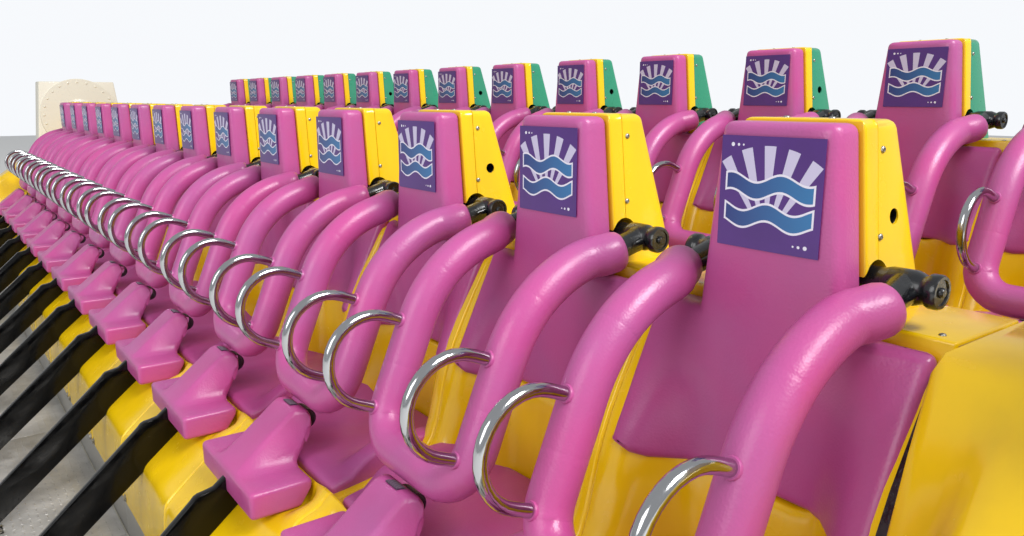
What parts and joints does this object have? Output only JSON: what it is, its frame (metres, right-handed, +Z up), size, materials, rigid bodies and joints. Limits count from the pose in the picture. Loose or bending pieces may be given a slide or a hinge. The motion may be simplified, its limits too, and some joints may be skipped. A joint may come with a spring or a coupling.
{
  "type": "tumbling fairground ride gondola",
  "caption": "Two tiered rows of restraint seats on a welded base between two end hubs, with hinged over-shoulder harnesses.",
  "frame": {"origin": "under the middle of the gondola, on the plane that its base stands on", "axes": "+X along the rows to the hub at the riders' left, +Y to the back, +Z up; riders face -Y"},
  "size_m": [9.84, 3.312, 1.939],
  "materials": {
    "yellow_shell": "smooth glass-reinforced moulding with a soft gloss",
    "teal_shell": "smooth glass-reinforced moulding with a soft gloss",
    "pink_foam": "skinned foam with a fine grain",
    "black_paint": "glossy black enamel",
    "cream_paint": "satin enamel",
    "tread_plate": "raised tread pattern",
    "bare_steel": "machined and plated",
    "webbing": "woven polyester"
  },
  "bodies": {
    "gondola": {"underframe": "cream_paint", "front_deck": "tread_plate", "rear_deck": "tread_plate", "front_shell": "yellow_shell", "rear_shell": "yellow_shell", "front_end_fairings": "yellow_shell", "rear_end_fairings": "yellow_shell", "front_frames": "bare_steel", "rear_frames": "bare_steel", "front_head_frames": "yellow_shell", "front_head_covers": "yellow_shell", "rear_head_frames": "yellow_shell", "rear_head_covers": "teal_shell", "front_back_pads": "pink_foam", "rear_back_pads": "pink_foam", "front_cushions": "pink_foam", "rear_cushions": "pink_foam", "front_leg_pads": "pink_foam", "rear_leg_pads": "pink_foam", "front_divider_bars": "black_paint", "rear_divider_bars": "black_paint", "front_pivots": "bare_steel", "rear_pivots": "bare_steel", "front_belts": "webbing", "rear_belts": "webbing", "end_frames": "cream_paint", "left_hub": "cream_paint", "right_hub": "cream_paint"},
    "restraint_f01": {"restraint_f01": "pink_foam"},
    "restraint_f02": {"restraint_f02": "pink_foam"},
    "restraint_f03": {"restraint_f03": "pink_foam"},
    "restraint_f04": {"restraint_f04": "pink_foam"},
    "restraint_f05": {"restraint_f05": "pink_foam"},
    "restraint_f06": {"restraint_f06": "pink_foam"},
    "restraint_f07": {"restraint_f07": "pink_foam"},
    "restraint_f08": {"restraint_f08": "pink_foam"},
    "restraint_f09": {"restraint_f09": "pink_foam"},
    "restraint_f10": {"restraint_f10": "pink_foam"},
    "restraint_f11": {"restraint_f11": "pink_foam"},
    "restraint_f12": {"restraint_f12": "pink_foam"},
    "restraint_f13": {"restraint_f13": "pink_foam"},
    "restraint_f14": {"restraint_f14": "pink_foam"},
    "restraint_r01": {"restraint_r01": "pink_foam"},
    "restraint_r02": {"restraint_r02": "pink_foam"},
    "restraint_r03": {"restraint_r03": "pink_foam"},
    "restraint_r04": {"restraint_r04": "pink_foam"},
    "restraint_r05": {"restraint_r05": "pink_foam"},
    "restraint_r06": {"restraint_r06": "pink_foam"},
    "restraint_r07": {"restraint_r07": "pink_foam"},
    "restraint_r08": {"restraint_r08": "pink_foam"},
    "restraint_r09": {"restraint_r09": "pink_foam"},
    "restraint_r10": {"restraint_r10": "pink_foam"},
    "restraint_r11": {"restraint_r11": "pink_foam"},
    "restraint_r12": {"restraint_r12": "pink_foam"},
    "restraint_r13": {"restraint_r13": "pink_foam"},
    "restraint_r14": {"restraint_r14": "pink_foam"}
  },
  "joints": [
    {"name": "front_restraint_1_lift", "type": "hinge", "parent": "gondola", "child": "restraint_f01", "pos_m": [-3.9, -0.148, 1.441], "axis": [-1, 0, 0], "range_deg": [0, 100]},
    {"name": "front_restraint_2_lift", "type": "hinge", "parent": "gondola", "child": "restraint_f02", "pos_m": [-3.3, -0.148, 1.441], "axis": [-1, 0, 0], "range_deg": [0, 100]},
    {"name": "front_restraint_3_lift", "type": "hinge", "parent": "gondola", "child": "restraint_f03", "pos_m": [-2.7, -0.148, 1.441], "axis": [-1, 0, 0], "range_deg": [0, 100]},
    {"name": "front_restraint_4_lift", "type": "hinge", "parent": "gondola", "child": "restraint_f04", "pos_m": [-2.1, -0.148, 1.441], "axis": [-1, 0, 0], "range_deg": [0, 100]},
    {"name": "front_restraint_5_lift", "type": "hinge", "parent": "gondola", "child": "restraint_f05", "pos_m": [-1.5, -0.148, 1.441], "axis": [-1, 0, 0], "range_deg": [0, 100]},
    {"name": "front_restraint_6_lift", "type": "hinge", "parent": "gondola", "child": "restraint_f06", "pos_m": [-0.9, -0.148, 1.441], "axis": [-1, 0, 0], "range_deg": [0, 100]},
    {"name": "front_restraint_7_lift", "type": "hinge", "parent": "gondola", "child": "restraint_f07", "pos_m": [-0.3, -0.148, 1.441], "axis": [-1, 0, 0], "range_deg": [0, 100]},
    {"name": "front_restraint_8_lift", "type": "hinge", "parent": "gondola", "child": "restraint_f08", "pos_m": [0.3, -0.148, 1.441], "axis": [-1, 0, 0], "range_deg": [0, 100]},
    {"name": "front_restraint_9_lift", "type": "hinge", "parent": "gondola", "child": "restraint_f09", "pos_m": [0.9, -0.148, 1.441], "axis": [-1, 0, 0], "range_deg": [0, 100]},
    {"name": "front_restraint_10_lift", "type": "hinge", "parent": "gondola", "child": "restraint_f10", "pos_m": [1.5, -0.148, 1.441], "axis": [-1, 0, 0], "range_deg": [0, 100]},
    {"name": "front_restraint_11_lift", "type": "hinge", "parent": "gondola", "child": "restraint_f11", "pos_m": [2.1, -0.148, 1.441], "axis": [-1, 0, 0], "range_deg": [0, 100]},
    {"name": "front_restraint_12_lift", "type": "hinge", "parent": "gondola", "child": "restraint_f12", "pos_m": [2.7, -0.148, 1.441], "axis": [-1, 0, 0], "range_deg": [0, 100]},
    {"name": "front_restraint_13_lift", "type": "hinge", "parent": "gondola", "child": "restraint_f13", "pos_m": [3.3, -0.148, 1.441], "axis": [-1, 0, 0], "range_deg": [0, 100]},
    {"name": "front_restraint_14_lift", "type": "hinge", "parent": "gondola", "child": "restraint_f14", "pos_m": [3.9, -0.148, 1.441], "axis": [-1, 0, 0], "range_deg": [0, 100]},
    {"name": "rear_restraint_1_lift", "type": "hinge", "parent": "gondola", "child": "restraint_r01", "pos_m": [-3.9, 1.464, 1.671], "axis": [-1, 0, 0], "range_deg": [0, 100]},
    {"name": "rear_restraint_2_lift", "type": "hinge", "parent": "gondola", "child": "restraint_r02", "pos_m": [-3.3, 1.464, 1.671], "axis": [-1, 0, 0], "range_deg": [0, 100]},
    {"name": "rear_restraint_3_lift", "type": "hinge", "parent": "gondola", "child": "restraint_r03", "pos_m": [-2.7, 1.464, 1.671], "axis": [-1, 0, 0], "range_deg": [0, 100]},
    {"name": "rear_restraint_4_lift", "type": "hinge", "parent": "gondola", "child": "restraint_r04", "pos_m": [-2.1, 1.464, 1.671], "axis": [-1, 0, 0], "range_deg": [0, 100]},
    {"name": "rear_restraint_5_lift", "type": "hinge", "parent": "gondola", "child": "restraint_r05", "pos_m": [-1.5, 1.464, 1.671], "axis": [-1, 0, 0], "range_deg": [0, 100]},
    {"name": "rear_restraint_6_lift", "type": "hinge", "parent": "gondola", "child": "restraint_r06", "pos_m": [-0.9, 1.464, 1.671], "axis": [-1, 0, 0], "range_deg": [0, 100]},
    {"name": "rear_restraint_7_lift", "type": "hinge", "parent": "gondola", "child": "restraint_r07", "pos_m": [-0.3, 1.464, 1.671], "axis": [-1, 0, 0], "range_deg": [0, 100]},
    {"name": "rear_restraint_8_lift", "type": "hinge", "parent": "gondola", "child": "restraint_r08", "pos_m": [0.3, 1.464, 1.671], "axis": [-1, 0, 0], "range_deg": [0, 100]},
    {"name": "rear_restraint_9_lift", "type": "hinge", "parent": "gondola", "child": "restraint_r09", "pos_m": [0.9, 1.464, 1.671], "axis": [-1, 0, 0], "range_deg": [0, 100]},
    {"name": "rear_restraint_10_lift", "type": "hinge", "parent": "gondola", "child": "restraint_r10", "pos_m": [1.5, 1.464, 1.671], "axis": [-1, 0, 0], "range_deg": [0, 100]},
    {"name": "rear_restraint_11_lift", "type": "hinge", "parent": "gondola", "child": "restraint_r11", "pos_m": [2.1, 1.464, 1.671], "axis": [-1, 0, 0], "range_deg": [0, 100]},
    {"name": "rear_restraint_12_lift", "type": "hinge", "parent": "gondola", "child": "restraint_r12", "pos_m": [2.7, 1.464, 1.671], "axis": [-1, 0, 0], "range_deg": [0, 100]},
    {"name": "rear_restraint_13_lift", "type": "hinge", "parent": "gondola", "child": "restraint_r13", "pos_m": [3.3, 1.464, 1.671], "axis": [-1, 0, 0], "range_deg": [0, 100]},
    {"name": "rear_restraint_14_lift", "type": "hinge", "parent": "gondola", "child": "restraint_r14", "pos_m": [3.9, 1.464, 1.671], "axis": [-1, 0, 0], "range_deg": [0, 100]}
  ]
}
